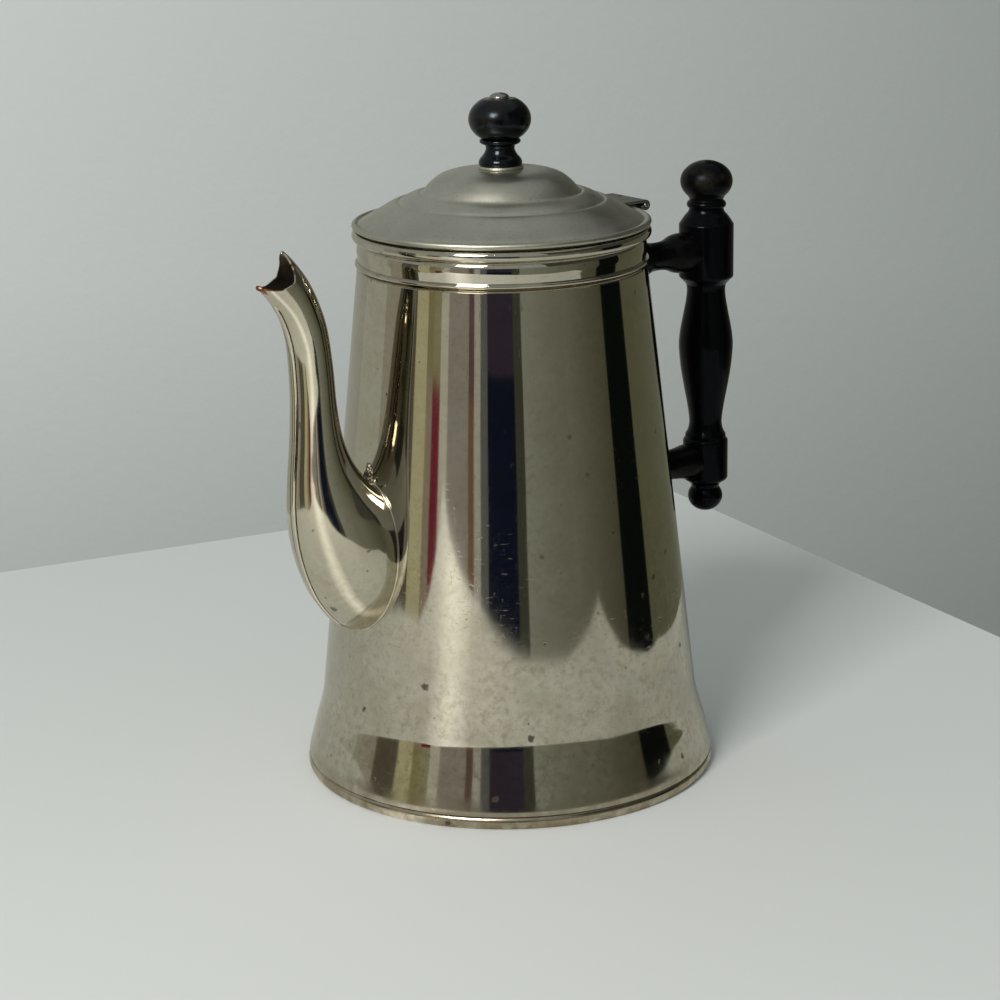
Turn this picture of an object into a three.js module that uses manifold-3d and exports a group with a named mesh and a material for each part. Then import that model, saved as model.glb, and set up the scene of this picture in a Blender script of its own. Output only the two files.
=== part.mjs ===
// Nickel-plated coffee pot with a gooseneck spout, a hinged stepped lid and a side handle.
// Millimetres, +Z up. The origin is on the pot's axis, on the table that the foot stands on.
// The spout points along -X; the handle and the lid's hinge are at +X.
import * as THREE from 'three';
import { mergeVertices } from 'three/addons/utils/BufferGeometryUtils.js';
import Module from 'manifold-3d';

const wasm = await Module();
wasm.setup();

// ---------------------------------------------------------------- driving dimensions
const GAP = 0.3; // clearance between neighbouring pieces
const SHEET = 0.8; // thickness of the plated sheet metal

const FOOT_R = 77.5; // rolled foot, the widest part of the pot
const FOOT_TOP = 4.6;
const FOOT_INNER_R = 74.8;
const PLATE_Z = 1.2; // underside of the bottom plate, just above the table
const FLARE_TOP_Z = 46; // the flare ends and the straight cone starts
const FLARE_TOP_R = 69;
const CONE_TOP_Z = 190.3;
const CONE_TOP_R = 53.3;
const NECK_R = 51.5; // cylindrical neck, outside
const NECK_BASE_Z = 191.2;
const NECK_TOP_Z = 204.2;

const COLLAR_R = 52.6; // band around the neck
const COLLAR_TOP_Z = 200.7;
const COLLAR_BEAD_Z = 192.55;
const COLLAR_BEAD_R = 1.35;
const RIM_Z = 203; // rolled mouth rim
const RIM_R = 54.8;
const RIM_HALF_HEIGHT = 1.9;

const LID_R = 54.7;
const LID_EDGE_Z = 206.6;
const LID_BEAD_R = 1.1;
const LID_TOP_Z = 226.1;
const LID_SEAT_R = 8.6; // flat crown of the lid, under the knob
const SKIRT_R = 50.2; // ring under the lid that fits into the neck
const SKIRT_BOTTOM_Z = 199;

const SCREW_R = 1.5; // knob screw shank
const BORE_R = SCREW_R + GAP;
const KNOB_BASE_Z = 227.3;
const KNOB_TOP_Z = 251.3;
const KNOB_R = 11.46;
const KNOB_BALL_Z = 243.9;
const KNOB_BALL_HALF_HEIGHT = 8.7;
const SCREW_HEAD_R = 3.6;
const SCREW_HEAD_TOP_Z = 253.4;

const HINGE_X = 58.8; // hinge pin axis, along Y
const HINGE_Z = 207.5;
const KNUCKLE_R = 2;
const KNUCKLE_BORE_R = 1.1;
const PIN_R = 0.8;
const LID_LEAF_WIDTH = 21;
const BODY_KNUCKLE_WIDTH = 7.8;
const BODY_LEAF_WIDTH = 18;

const GRIP_X = 96.6; // vertical axis of the turned grip
const GRIP_UPPER_R = 10.6;
const GRIP_LOWER_R = 8.85;
const UPPER_ARM_Z = 185;
const LOWER_ARM_Z = 101.5;
const STUD_R = 1.6;

const SPOUT_WALL = 0.8;
const SPOUT_SEAM_GAP = 0.15; // half of the gap between the spout's two halves
const SPOUT_RIDGE = 0.7; // height of the soldered ridge along the front seam
const STRAINER_HOLE_R = 1.5;

const ROUND_SEGMENTS = 40; // facets around the pot
const SMALL_SEGMENTS = 16; // facets around small turned pieces

// ---------------------------------------------------------------- materials
const finish = (color, roughness, metalness) =>
  new THREE.MeshStandardMaterial({ color, roughness, metalness });
const polishedNickel = finish(0xb5ac98, 0.12, 1);
const satinNickel = finish(0x9a9688, 0.38, 1);
const ebonisedWood = finish(0x17140f, 0.3, 0);
const japannedIron = finish(0x121214, 0.35, 0.2);
const bareSteel = finish(0x8f8b84, 0.3, 1);

// ---------------------------------------------------------------- solids
const at = (r, z) => new THREE.Vector2(r, z);

function signedVolume(geometry) {
  const position = geometry.getAttribute('position');
  const index = geometry.getIndex();
  const corner = [new THREE.Vector3(), new THREE.Vector3(), new THREE.Vector3()];
  let volume = 0;
  for (let i = 0; i < index.count; i += 3) {
    corner.forEach((point, k) => point.fromBufferAttribute(position, index.getX(i + k)));
    volume += corner[0].dot(corner[1].clone().cross(corner[2])) / 6;
  }
  return volume;
}

// One closed solid: shared vertices merged, flat triangles dropped, faces pointing out.
function closed(geometry) {
  const bare = new THREE.BufferGeometry();
  bare.setAttribute('position', geometry.getAttribute('position'));
  bare.setIndex(geometry.getIndex());
  const merged = mergeVertices(bare, 1e-4);
  const kept = [];
  const index = merged.getIndex().array;
  for (let i = 0; i < index.length; i += 3) {
    const [a, b, c] = [index[i], index[i + 1], index[i + 2]];
    if (a !== b && b !== c && c !== a) kept.push(a, b, c);
  }
  merged.setIndex(kept);
  if (signedVolume(merged) < 0) {
    for (let i = 0; i < kept.length; i += 3) [kept[i], kept[i + 1]] = [kept[i + 1], kept[i]];
    merged.setIndex(kept);
  }
  return merged;
}

function manifoldOf(geometry) {
  const solid = closed(geometry);
  return new wasm.Manifold(new wasm.Mesh({
    numProp: 3,
    vertProperties: new Float32Array(solid.getAttribute('position').array),
    triVerts: new Uint32Array(solid.getIndex().array),
  }));
}

function geometryOf(manifold) {
  const mesh = manifold.getMesh();
  const geometry = new THREE.BufferGeometry();
  geometry.setAttribute('position', new THREE.BufferAttribute(mesh.vertProperties, 3));
  geometry.setIndex(new THREE.BufferAttribute(mesh.triVerts, 1));
  return geometry;
}

const cut = (geometry, ...tools) =>
  geometryOf(tools.reduce((rest, tool) => rest.subtract(manifoldOf(tool)), manifoldOf(geometry)));

// Turns a section of (radius, height) points about the Z axis.
function turned(section, segments, divisions = 2) {
  const geometry = new THREE.LatheGeometry(section.getPoints(divisions), segments);
  return closed(geometry.rotateX(Math.PI / 2));
}

// Extrudes a section of (x, z) points along Y, centred on y = 0.
function extrudedAlongY(section, width, curveSegments = 4) {
  const shape = new THREE.Shape(section.getPoints(curveSegments));
  const geometry = new THREE.ExtrudeGeometry(shape, { depth: width, bevelEnabled: false });
  return closed(geometry.rotateX(Math.PI / 2).translate(0, width / 2, 0));
}

// A round bar along X, from one x to another.
function barAlongX(radius, from, to, z, segments = 12) {
  const bar = new THREE.CylinderGeometry(radius, radius, to - from, segments);
  return bar.rotateZ(Math.PI / 2).translate((from + to) / 2, 0, z);
}

function block(min, max) {
  const size = max.map((value, i) => value - min[i]);
  const middle = max.map((value, i) => (value + min[i]) / 2);
  return new THREE.BoxGeometry(...size).translate(...middle);
}

function piece(name, geometry, material) {
  const mesh = new THREE.Mesh(geometry, material);
  mesh.name = name;
  return mesh;
}

// ---------------------------------------------------------------- pot body
const coneRadius = (z) =>
  FLARE_TOP_R + ((CONE_TOP_R - FLARE_TOP_R) * (z - FLARE_TOP_Z)) / (CONE_TOP_Z - FLARE_TOP_Z);

// Adds the flare from the foot up to the cone, set in from the outside by inset.
function flareUp(section, inset) {
  section.splineThru([at(74.1 - inset, 18), at(71 - inset, 30), at(FLARE_TOP_R - inset, FLARE_TOP_Z)]);
}

function bodyShell() {
  const bottomZ = FOOT_TOP + GAP;
  const section = new THREE.Path();
  section.moveTo(77.3, bottomZ);
  flareUp(section, 0);
  section.lineTo(CONE_TOP_R, CONE_TOP_Z);
  section.lineTo(NECK_R, NECK_BASE_Z);
  section.lineTo(NECK_R, NECK_TOP_Z);
  section.lineTo(NECK_R - SHEET, NECK_TOP_Z);
  section.lineTo(NECK_R - SHEET, NECK_BASE_Z - 0.5);
  section.lineTo(CONE_TOP_R - SHEET, CONE_TOP_Z - 0.5);
  section.lineTo(FLARE_TOP_R - SHEET, FLARE_TOP_Z);
  section.splineThru([at(71 - SHEET, 30), at(74.1 - SHEET, 18), at(77.3 - SHEET, bottomZ)]);
  section.closePath();
  return cut(turned(section, ROUND_SEGMENTS), ...strainerHoles());
}

// Rows of holes through the body wall behind the spout, which hold back the grounds.
function strainerHoles() {
  const rows = [
    { z: 76, count: 3 },
    { z: 83, count: 4 },
    { z: 90, count: 5 },
    { z: 97, count: 4 },
    { z: 104, count: 3 },
    { z: 110, count: 2 },
  ];
  const spacing = 6.5;
  const holes = [];
  for (const { z, count } of rows) {
    for (let i = 0; i < count; i += 1) {
      const angle = ((i - (count - 1) / 2) * spacing) / coneRadius(z);
      const hole = barAlongX(STRAINER_HOLE_R, -coneRadius(z) - 3, -coneRadius(z) + 4, z, 8);
      holes.push(hole.rotateZ(angle));
    }
  }
  return holes;
}

// The outside of the body and collar, filled in, and larger than them by the gap.
function bodyEnvelope() {
  const section = new THREE.Path();
  section.moveTo(0, 0);
  section.lineTo(FOOT_R + GAP, 0);
  section.lineTo(FOOT_R + GAP, FOOT_TOP);
  flareUp(section, -GAP);
  section.lineTo(CONE_TOP_R + GAP, CONE_TOP_Z);
  section.lineTo(COLLAR_R + COLLAR_BEAD_R + 0.1, COLLAR_BEAD_Z - COLLAR_BEAD_R);
  section.lineTo(COLLAR_R + COLLAR_BEAD_R + 0.1, COLLAR_TOP_Z);
  section.lineTo(0, COLLAR_TOP_Z);
  return turned(section, ROUND_SEGMENTS);
}

function bottomPlate() {
  const edgeR = FOOT_INNER_R - GAP;
  const section = new THREE.Path();
  section.moveTo(0, PLATE_Z);
  section.lineTo(edgeR, PLATE_Z);
  section.lineTo(edgeR, FOOT_TOP);
  section.lineTo(edgeR - SHEET, FOOT_TOP);
  section.lineTo(edgeR - SHEET, PLATE_Z + SHEET);
  section.lineTo(0, PLATE_Z + SHEET);
  return turned(section, ROUND_SEGMENTS);
}

function footRim() {
  const corner = 1.2;
  const section = new THREE.Path();
  section.moveTo(FOOT_INNER_R, 0);
  section.lineTo(FOOT_R - corner, 0);
  section.quadraticCurveTo(FOOT_R, 0, FOOT_R, corner);
  section.lineTo(FOOT_R, FOOT_TOP - corner);
  section.quadraticCurveTo(FOOT_R, FOOT_TOP, FOOT_R - corner, FOOT_TOP);
  section.lineTo(FOOT_INNER_R, FOOT_TOP);
  section.closePath();
  return turned(section, ROUND_SEGMENTS);
}

function collarBand() {
  const innerR = NECK_R + GAP;
  const beadBottomZ = COLLAR_BEAD_Z - COLLAR_BEAD_R;
  const section = new THREE.Path();
  section.moveTo(innerR, beadBottomZ + 0.6);
  section.lineTo(COLLAR_R, beadBottomZ);
  section.absarc(COLLAR_R, COLLAR_BEAD_Z, COLLAR_BEAD_R, -Math.PI / 2, Math.PI / 2);
  section.lineTo(COLLAR_R, COLLAR_TOP_Z);
  section.lineTo(innerR, COLLAR_TOP_Z);
  section.closePath();
  return turned(section, ROUND_SEGMENTS);
}

function mouthRim() {
  const halfWidth = (RIM_R - NECK_R - GAP) / 2;
  const section = new THREE.Path();
  section.absellipse(RIM_R - halfWidth, RIM_Z, halfWidth, RIM_HALF_HEIGHT, 0, 2 * Math.PI);
  return turned(section, ROUND_SEGMENTS, 4);
}

// ---------------------------------------------------------------- spout
// Stations from beyond the mouth down into the body: the front seam, the back seam and half the width.
const SPOUT_STATIONS = [
  { front: [-107, 199], back: [-97.5, 210], half: 5.6 },
  { front: [-100.2, 191.6], back: [-90, 204], half: 6.4 },
  { front: [-94.4, 183.4], back: [-83.4, 195], half: 8 },
  { front: [-91, 173], back: [-78.2, 181.5], half: 9.3 },
  { front: [-90, 161], back: [-76, 166], half: 9.9 },
  { front: [-90, 149], back: [-74.9, 151], half: 10.2 },
  { front: [-90.8, 136], back: [-73, 139], half: 11.3 },
  { front: [-92, 123], back: [-69, 129], half: 13.2 },
  { front: [-92.4, 111], back: [-62.7, 120.5], half: 16 },
  { front: [-91.3, 99.3], back: [-55, 114], half: 18.8 },
  { front: [-88.4, 88], back: [-49, 105], half: 20.2 },
  { front: [-84.2, 78.4], back: [-46, 94], half: 19.4 },
  { front: [-78.8, 71], back: [-46, 83], half: 16 },
  { front: [-73, 66.2], back: [-46, 74], half: 11 },
  { front: [-66, 63.6], back: [-46, 67], half: 6 },
  { front: [-58, 62.6], back: [-46, 63.5], half: 2.5 },
];
const SPOUT_RINGS = 30;
const SPOUT_ARC_STEPS = 10;

function spoutCurves() {
  const through = (key) => new THREE.CatmullRomCurve3(
    SPOUT_STATIONS.map((station) => new THREE.Vector3(station[key][0], 0, station[key][1])),
    false, 'centripetal');
  const half = new THREE.SplineCurve(SPOUT_STATIONS.map((station, i) => at(i, station.half)));
  return { front: through('front'), back: through('back'), half };
}

// One half of the spout, on the side given by the sign of y, open at both ends.
function spoutHalf(side) {
  const curves = spoutCurves();
  const loopSize = 2 * (SPOUT_ARC_STEPS + 1);
  const positions = [];
  for (let ring = 0; ring <= SPOUT_RINGS; ring += 1) {
    const t = ring / SPOUT_RINGS;
    const front = curves.front.getPoint(t);
    const back = curves.back.getPoint(t);
    const half = curves.half.getPoint(t).y;
    const centre = front.clone().add(back).multiplyScalar(0.5);
    const reach = front.clone().sub(centre);
    const forward = reach.clone().normalize();
    for (let k = 0; k < loopSize; k += 1) {
      const outside = k <= SPOUT_ARC_STEPS;
      const step = outside ? k : loopSize - 1 - k;
      const angle = (Math.PI * step) / SPOUT_ARC_STEPS;
      const wall = outside ? 0 : SPOUT_WALL;
      const ridge = outside && step === 0 ? SPOUT_RIDGE : 0;
      const along = Math.cos(angle) * (reach.length() - wall) + ridge;
      const across = SPOUT_SEAM_GAP + Math.sin(angle) * (half - wall - SPOUT_SEAM_GAP);
      const point = centre.clone().addScaledVector(forward, along);
      positions.push(point.x, side * across, point.z);
    }
  }
  const triangles = [];
  for (let ring = 0; ring < SPOUT_RINGS; ring += 1) {
    for (let k = 0; k < loopSize; k += 1) {
      const a = ring * loopSize + k;
      const b = ring * loopSize + ((k + 1) % loopSize);
      triangles.push(a, b, a + loopSize, b, b + loopSize, a + loopSize);
    }
  }
  const last = SPOUT_RINGS * loopSize;
  for (let k = 0; k < SPOUT_ARC_STEPS; k += 1) {
    const [a, b] = [k, k + 1];
    const [c, d] = [loopSize - 1 - k, loopSize - 2 - k];
    triangles.push(a, c, b, b, c, d);
    triangles.push(last + a, last + b, last + c, last + b, last + d, last + c);
  }
  const geometry = new THREE.BufferGeometry();
  geometry.setAttribute('position', new THREE.Float32BufferAttribute(positions, 3));
  geometry.setIndex(triangles);
  return cut(geometry, bodyEnvelope(), mouthCutter());
}

// What is taken off to leave the beak-shaped mouth, seen from the side.
function mouthCutter() {
  const section = new THREE.Path();
  section.moveTo(-92.6, 206.6);
  section.quadraticCurveTo(-90.6, 201, -91.6, 196.4);
  section.quadraticCurveTo(-97.5, 193, -103, 194.4);
  section.lineTo(-115, 195);
  section.lineTo(-115, 215);
  section.lineTo(-95, 215);
  section.closePath();
  return extrudedAlongY(section, 40);
}

// ---------------------------------------------------------------- lid
// The lid's outside, from its crown out and down to its edge bead, raised by lift.
function lidOutside(section, lift) {
  section.lineTo(LID_SEAT_R, LID_TOP_Z + lift);
  section.splineThru([at(14, 225.9 + lift), at(21.5, 224.4 + lift), at(26, 221.2 + lift)]);
  section.lineTo(29, 217.8 + lift);
  section.splineThru([at(32, 217.5 + lift), at(35.2, 216.3 + lift)]);
  section.lineTo(37.4, 214.8 + lift);
  section.splineThru([at(40, 214.3 + lift), at(46, 210.8 + lift), at(51.4, 208 + lift)]);
}

function lidShell() {
  const beadR = LID_R - LID_BEAD_R;
  const section = new THREE.Path();
  section.moveTo(BORE_R, LID_TOP_Z);
  lidOutside(section, 0);
  section.lineTo(beadR, LID_EDGE_Z + LID_BEAD_R);
  section.absarc(beadR, LID_EDGE_Z, LID_BEAD_R, Math.PI / 2, -Math.PI / 2, true);
  section.lineTo(52.2, 206.1);
  section.lineTo(51.4, 208 - SHEET);
  section.splineThru([at(46, 210.7 - SHEET), at(39.8, 214 - SHEET), at(37, 214.4 - SHEET)]);
  section.splineThru([at(34.6, 215.9 - SHEET), at(31.8, 217 - SHEET), at(28.6, 217.2 - SHEET)]);
  section.splineThru([at(25.5, 220.7 - SHEET), at(21, 223.9 - SHEET), at(14, 225.5 - SHEET)]);
  section.lineTo(LID_SEAT_R, LID_TOP_Z - SHEET);
  section.lineTo(BORE_R, LID_TOP_Z - SHEET);
  section.closePath();
  return turned(section, ROUND_SEGMENTS, 1);
}

// The lid's outside, filled in and raised by the gap, for fitting the hinge leaf on it.
function lidEnvelope() {
  const section = new THREE.Path();
  section.moveTo(0, LID_TOP_Z + GAP);
  lidOutside(section, GAP);
  section.lineTo(LID_R + GAP, LID_EDGE_Z + LID_BEAD_R + GAP);
  section.lineTo(LID_R + GAP, 200);
  section.lineTo(0, 200);
  return turned(section, ROUND_SEGMENTS, 1);
}

function lidSkirt() {
  const topZ = 208 - SHEET - GAP;
  const section = new THREE.Path();
  section.moveTo(SKIRT_R - SHEET, SKIRT_BOTTOM_Z);
  section.lineTo(SKIRT_R, SKIRT_BOTTOM_Z);
  section.lineTo(SKIRT_R, topZ);
  section.lineTo(SKIRT_R - SHEET, topZ);
  section.closePath();
  return turned(section, ROUND_SEGMENTS);
}

// ---------------------------------------------------------------- knob
function knobSeat() {
  const section = new THREE.Path();
  section.moveTo(BORE_R, LID_TOP_Z + GAP);
  section.lineTo(8.2, LID_TOP_Z + GAP);
  section.lineTo(8.2, KNOB_BASE_Z - GAP);
  section.lineTo(BORE_R, KNOB_BASE_Z - GAP);
  section.closePath();
  return turned(section, SMALL_SEGMENTS);
}

function knob() {
  const ballStart = -0.82; // angle below the ball's middle where the neck ring begins
  const ballEnd = Math.asin((KNOB_TOP_Z - KNOB_BALL_Z) / KNOB_BALL_HALF_HEIGHT);
  const section = new THREE.Path();
  section.moveTo(BORE_R, KNOB_BASE_Z);
  section.lineTo(7.7, KNOB_BASE_Z);
  section.splineThru([at(7.9, 228.4), at(6.6, 230.6), at(5.2, 233.3), at(6, 234.8)]);
  section.splineThru([at(7.4, 235.5), at(7.5, 236.5), at(6.9, 237.2)]);
  section.absellipse(0, KNOB_BALL_Z, KNOB_R, KNOB_BALL_HALF_HEIGHT, ballStart, ballEnd);
  section.lineTo(BORE_R, KNOB_TOP_Z);
  section.closePath();
  return turned(section, SMALL_SEGMENTS);
}

function knobScrew() {
  const headBaseZ = KNOB_TOP_Z + GAP;
  const section = new THREE.Path();
  section.moveTo(0, 220.5);
  section.lineTo(SCREW_R, 220.5);
  section.lineTo(SCREW_R, headBaseZ);
  section.lineTo(SCREW_HEAD_R, headBaseZ);
  section.quadraticCurveTo(SCREW_HEAD_R, SCREW_HEAD_TOP_Z, 0, SCREW_HEAD_TOP_Z);
  return turned(section, 16, 4);
}

function knobNut() {
  const hexR = 4;
  const bottomZ = 221.5;
  const topZ = LID_TOP_Z - SHEET - GAP;
  const nut = new THREE.CylinderGeometry(hexR, hexR, topZ - bottomZ, 6).rotateX(Math.PI / 2);
  const bore = new THREE.CylinderGeometry(BORE_R, BORE_R, 10, 12).rotateX(Math.PI / 2);
  const middleZ = (topZ + bottomZ) / 2;
  return cut(nut.translate(0, 0, middleZ), bore.translate(0, 0, middleZ));
}

// ---------------------------------------------------------------- lid hinge
function lidHingeLeaf() {
  const start = 46;
  const section = new THREE.Path();
  section.moveTo(start, HINGE_Z + KNUCKLE_R);
  section.lineTo(HINGE_X, HINGE_Z + KNUCKLE_R);
  section.absarc(HINGE_X, HINGE_Z, KNUCKLE_R, Math.PI / 2, -0.95 * Math.PI, true);
  section.absarc(HINGE_X, HINGE_Z, KNUCKLE_BORE_R, -0.95 * Math.PI, Math.PI / 2, false);
  section.lineTo(start, HINGE_Z + KNUCKLE_BORE_R);
  section.closePath();
  const notchHalf = BODY_KNUCKLE_WIDTH / 2 + GAP;
  const notch = block([HINGE_X - KNUCKLE_R - 0.6, -notchHalf, 200], [HINGE_X + 5, notchHalf, 215]);
  return cut(extrudedAlongY(section, LID_LEAF_WIDTH), notch, lidEnvelope());
}

function bodyHingeLeaf() {
  const thickness = KNUCKLE_R - KNUCKLE_BORE_R;
  const outerX = HINGE_X - KNUCKLE_R;
  const padX = COLLAR_R + GAP;
  const padBottomZ = COLLAR_BEAD_Z + COLLAR_BEAD_R + GAP;
  const section = new THREE.Path();
  section.moveTo(outerX, HINGE_Z);
  section.absarc(HINGE_X, HINGE_Z, KNUCKLE_R, Math.PI, -Math.PI / 2, true);
  section.absarc(HINGE_X, HINGE_Z, KNUCKLE_BORE_R, -Math.PI / 2, Math.PI, false);
  section.lineTo(outerX + thickness, 201.8);
  section.lineTo(padX + thickness, 198.2);
  section.lineTo(padX + thickness, padBottomZ);
  section.lineTo(padX, padBottomZ);
  section.lineTo(padX, 198.6);
  section.lineTo(outerX, 202.2);
  section.closePath();
  const neckHalf = BODY_KNUCKLE_WIDTH / 2;
  const shoulderZ = HINGE_Z - KNUCKLE_R - 0.6;
  const sides = [-1, 1].map((side) => {
    const near = side * neckHalf;
    const far = side * BODY_LEAF_WIDTH;
    return block([50, Math.min(near, far), shoulderZ], [70, Math.max(near, far), 215]);
  });
  return cut(extrudedAlongY(section, BODY_LEAF_WIDTH), ...sides);
}

function hingePin() {
  const length = LID_LEAF_WIDTH + 0.6;
  return new THREE.CylinderGeometry(PIN_R, PIN_R, length, 12).translate(HINGE_X, 0, HINGE_Z);
}

// ---------------------------------------------------------------- handle
// The turned grip about its own axis, from its lower finial up to its top ball.
function gripSection() {
  const section = new THREE.Path();
  section.absellipse(0, 86.2, 6.85, 6, -Math.PI / 2, 0.72);
  section.lineTo(6.3, 91.2);
  section.lineTo(GRIP_LOWER_R, 93);
  section.lineTo(GRIP_LOWER_R, 109.9);
  section.splineThru([at(8, 112.2), at(6.5, 115.4), at(6.9, 121), at(9.8, 137.4)]);
  section.splineThru([at(10.6, 147.5), at(9.6, 155.6), at(7.6, 167.4), at(7.6, 171.6), at(9.6, 173.4)]);
  section.lineTo(GRIP_UPPER_R, 175);
  section.lineTo(GRIP_UPPER_R, 195.8);
  section.splineThru([at(8.8, 198), at(6.8, 200.6)]);
  section.absellipse(6, 202.6, 1.5, 1.6, -Math.PI / 2, Math.PI / 2);
  section.lineTo(6.7, 205);
  section.absellipse(0, 211.6, 10.1, 8, -0.82, Math.PI / 2);
  return section;
}

function grip() {
  const bar = turned(gripSection(), SMALL_SEGMENTS).translate(GRIP_X, 0, 0);
  const bores = [UPPER_ARM_Z, LOWER_ARM_Z].map((z) =>
    barAlongX(STUD_R + GAP, GRIP_X - 20, GRIP_X - 2.4, z));
  return cut(bar, ...bores);
}

// A turned metal arm between the body and one of the grip's barrels.
function arm(radii, bodyX, barrelR, z) {
  const endX = GRIP_X - barrelR + 4;
  const section = new THREE.Path();
  section.moveTo(0, bodyX);
  section.lineTo(radii[0], bodyX);
  const step = (endX - bodyX) / (radii.length - 1);
  section.splineThru(radii.slice(1).map((r, i) => at(r, bodyX + (i + 1) * step)));
  section.lineTo(0, endX);
  const bar = turned(section, 20).rotateY(Math.PI / 2).translate(0, 0, z);
  const barrel = new THREE.CylinderGeometry(barrelR + GAP, barrelR + GAP, 60, SMALL_SEGMENTS);
  barrel.rotateX(Math.PI / 2).translate(GRIP_X, 0, z);
  const bore = barAlongX(STUD_R + GAP, GRIP_X - barrelR - 8, GRIP_X, z);
  return cut(bar, bodyEnvelope(), barrel, bore);
}

const upperArm = () => arm([8, 7.9, 7.3, 5.6, 5.6, 7.4, 7.6], 50, GRIP_UPPER_R, UPPER_ARM_Z);
const lowerArm = () => arm([8.2, 7.6, 6.4, 5.8, 6.5, 6.8], 58, GRIP_LOWER_R, LOWER_ARM_Z);
const stud = (barrelR, z) => barAlongX(STUD_R, GRIP_X - barrelR - 7.6, GRIP_X - 2.8, z);

// ---------------------------------------------------------------- assembly
const pot = new THREE.Group();
pot.name = 'coffee_pot';

const body = new THREE.Group();
body.add(
  piece('body_shell', bodyShell(), polishedNickel),
  piece('bottom_plate', bottomPlate(), satinNickel),
  piece('foot_rim', footRim(), polishedNickel),
  piece('collar_band', collarBand(), polishedNickel),
  piece('mouth_rim', mouthRim(), polishedNickel),
  piece('spout_right_half', spoutHalf(1), polishedNickel),
  piece('spout_left_half', spoutHalf(-1), polishedNickel),
  piece('body_hinge_leaf', bodyHingeLeaf(), satinNickel),
  piece('hinge_pin', hingePin(), bareSteel),
);

const handle = new THREE.Group();
handle.add(
  piece('handle_grip', grip(), ebonisedWood),
  piece('upper_handle_arm', upperArm(), japannedIron),
  piece('lower_handle_arm', lowerArm(), japannedIron),
  piece('upper_handle_stud', stud(GRIP_UPPER_R, UPPER_ARM_Z), bareSteel),
  piece('lower_handle_stud', stud(GRIP_LOWER_R, LOWER_ARM_Z), bareSteel),
);

const lid = new THREE.Group();
lid.add(
  piece('lid_shell', lidShell(), satinNickel),
  piece('lid_skirt', lidSkirt(), satinNickel),
  piece('lid_hinge_leaf', lidHingeLeaf(), satinNickel),
  piece('lid_knob', knob(), ebonisedWood),
  piece('knob_seat', knobSeat(), satinNickel),
  piece('knob_screw', knobScrew(), bareSteel),
  piece('knob_nut', knobNut(), bareSteel),
);

pot.add(body, handle, lid);

export default pot;
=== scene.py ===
"""The looks of an old nickel-plated coffee pot: fine shells, turned wood, worn plate and a plain studio."""
import math

import bmesh
import bpy
from mathutils import Matrix, Vector, noise


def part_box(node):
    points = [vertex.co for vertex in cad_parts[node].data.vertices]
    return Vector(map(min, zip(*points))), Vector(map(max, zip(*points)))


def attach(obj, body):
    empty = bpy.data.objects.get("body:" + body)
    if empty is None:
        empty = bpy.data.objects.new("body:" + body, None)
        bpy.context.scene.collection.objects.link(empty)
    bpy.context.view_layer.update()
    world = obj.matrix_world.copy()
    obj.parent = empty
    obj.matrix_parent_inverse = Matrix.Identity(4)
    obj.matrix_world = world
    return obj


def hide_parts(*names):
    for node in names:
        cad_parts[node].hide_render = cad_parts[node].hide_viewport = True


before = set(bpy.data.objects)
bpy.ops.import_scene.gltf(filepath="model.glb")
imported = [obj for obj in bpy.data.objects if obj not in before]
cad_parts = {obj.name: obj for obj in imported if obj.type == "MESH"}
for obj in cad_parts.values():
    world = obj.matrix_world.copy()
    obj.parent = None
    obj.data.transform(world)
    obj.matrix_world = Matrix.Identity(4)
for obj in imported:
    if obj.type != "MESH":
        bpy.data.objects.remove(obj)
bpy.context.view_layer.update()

MM = 0.001

# ---------------------------------------------------------------- sizes, in millimetres, from the frame


def span(node):
    """Lowest and highest corner of a CAD node, in millimetres."""
    low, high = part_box(node)
    return low / MM, high / MM


FOOT_HIGH = span("foot_rim")[1]
FOOT_R, FOOT_TOP = FOOT_HIGH.y, FOOT_HIGH.z
BODY_TOP = span("body_shell")[1].z
COLLAR_LOW, COLLAR_HIGH = span("collar_band")
RIM_LOW, RIM_HIGH = span("mouth_rim")
LID_LOW, LID_HIGH = span("lid_shell")
SKIRT_LOW, SKIRT_HIGH = span("lid_skirt")
SEAT_LOW, SEAT_HIGH = span("knob_seat")
KNOB_LOW, KNOB_HIGH = span("lid_knob")
SCREW_LOW, SCREW_HIGH = span("knob_screw")
GRIP_LOW, GRIP_HIGH = span("handle_grip")
PIN_LOW, PIN_HIGH = span("hinge_pin")
PIN = (PIN_LOW + PIN_HIGH) / 2
GRIP_X = (GRIP_LOW.x + GRIP_HIGH.x) / 2
UPPER_ARM_Z = sum(corner.z for corner in span("upper_handle_stud")) / 2
LOWER_ARM_Z = sum(corner.z for corner in span("lower_handle_stud")) / 2
SHEET = 0.7
NECK_R = COLLAR_HIGH.y - 2.45
CONE_TOP = (53.3, 190.3)
FLARE_TOP = (69.0, 46.0)


def cone_radius(z):
    """Outside radius of the body's straight cone at a height."""
    share = (z - FLARE_TOP[1]) / (CONE_TOP[1] - FLARE_TOP[1])
    return FLARE_TOP[0] + (CONE_TOP[0] - FLARE_TOP[0]) * share


# ---------------------------------------------------------------- outlines


def spline(points, steps=8):
    """A smooth line through points, in any number of coordinates (Catmull-Rom)."""
    ends = [points[0], *points, points[-1]]
    line = []
    for i in range(len(points) - 1):
        a, b, c, d = ends[i:i + 4]
        for k in range(steps):
            t = k / steps
            weights = (-t**3 + 2 * t**2 - t, 3 * t**3 - 5 * t**2 + 2, -3 * t**3 + 4 * t**2 + t, t**3 - t**2)
            four = (a, b, c, d)
            line.append(tuple(sum(w * p[n] for w, p in zip(weights, four)) / 2 for n in range(len(b))))
    return [*line, tuple(points[-1])]


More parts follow.
